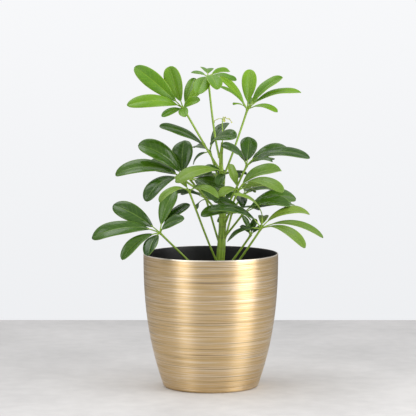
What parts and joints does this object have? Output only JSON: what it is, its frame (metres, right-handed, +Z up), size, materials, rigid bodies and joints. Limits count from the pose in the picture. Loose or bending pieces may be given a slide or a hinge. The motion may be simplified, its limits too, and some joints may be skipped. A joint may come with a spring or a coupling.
{
  "type": "potted plant",
  "caption": "Young schefflera (umbrella tree) with whorled leaves on long stalks, growing in a nursery pot inside a thin gold barrel-shaped cover pot.",
  "frame": {"origin": "centre of the cover pot's flat underside", "axes": "+Z up along the pot's axis; -Y is the plant's front"},
  "size_m": [0.2349, 0.161, 0.3337],
  "materials": {
    "gold_metal": "brushed gold outside with fine horizontal streaks, satin black inside",
    "black_plastic": "matte",
    "potting_mix": "rough, crumbly",
    "green_stem": "satin",
    "green_stalk": "satin",
    "bright_leaf": "satin",
    "dark_leaf": "glossy",
    "young_leaf": "satin"
  },
  "bodies": {
    "root": {"cover_pot": "gold_metal", "grow_pot": "black_plastic", "potting_soil": "potting_mix", "main_stem": "green_stem", "petiole_top_left": "green_stalk", "leaflets_top_left": "bright_leaf", "petiole_top_middle": "green_stalk", "leaflets_top_middle": "bright_leaf", "petiole_top_right": "green_stalk", "leaflets_top_right": "bright_leaf", "petiole_newest": "green_stalk", "leaflets_newest": "young_leaf", "petiole_upper_left": "green_stalk", "leaflets_upper_left": "dark_leaf", "petiole_upper_middle": "green_stalk", "leaflets_upper_middle": "bright_leaf", "petiole_upper_right": "green_stalk", "leaflets_upper_right": "dark_leaf", "petiole_left": "green_stalk", "leaflets_left": "dark_leaf", "petiole_front_left": "green_stalk", "leaflets_front_left": "bright_leaf", "petiole_middle": "green_stalk", "leaflets_middle": "dark_leaf", "petiole_front_right": "green_stalk", "leaflets_front_right": "bright_leaf", "petiole_right": "green_stalk", "leaflets_right": "dark_leaf", "petiole_low_right": "green_stalk", "leaflets_low_right": "bright_leaf", "petiole_low_right_small": "green_stalk", "leaflets_low_right_small": "dark_leaf", "petiole_low_left": "green_stalk", "leaflets_low_left": "dark_leaf", "petiole_back_left": "green_stalk", "leaflets_back_left": "dark_leaf", "petiole_back_middle": "green_stalk", "leaflets_back_middle": "dark_leaf", "petiole_back_right": "green_stalk", "leaflets_back_right": "dark_leaf", "petiole_back_low": "green_stalk", "leaflets_back_low": "dark_leaf"}
  },
  "joints": []
}
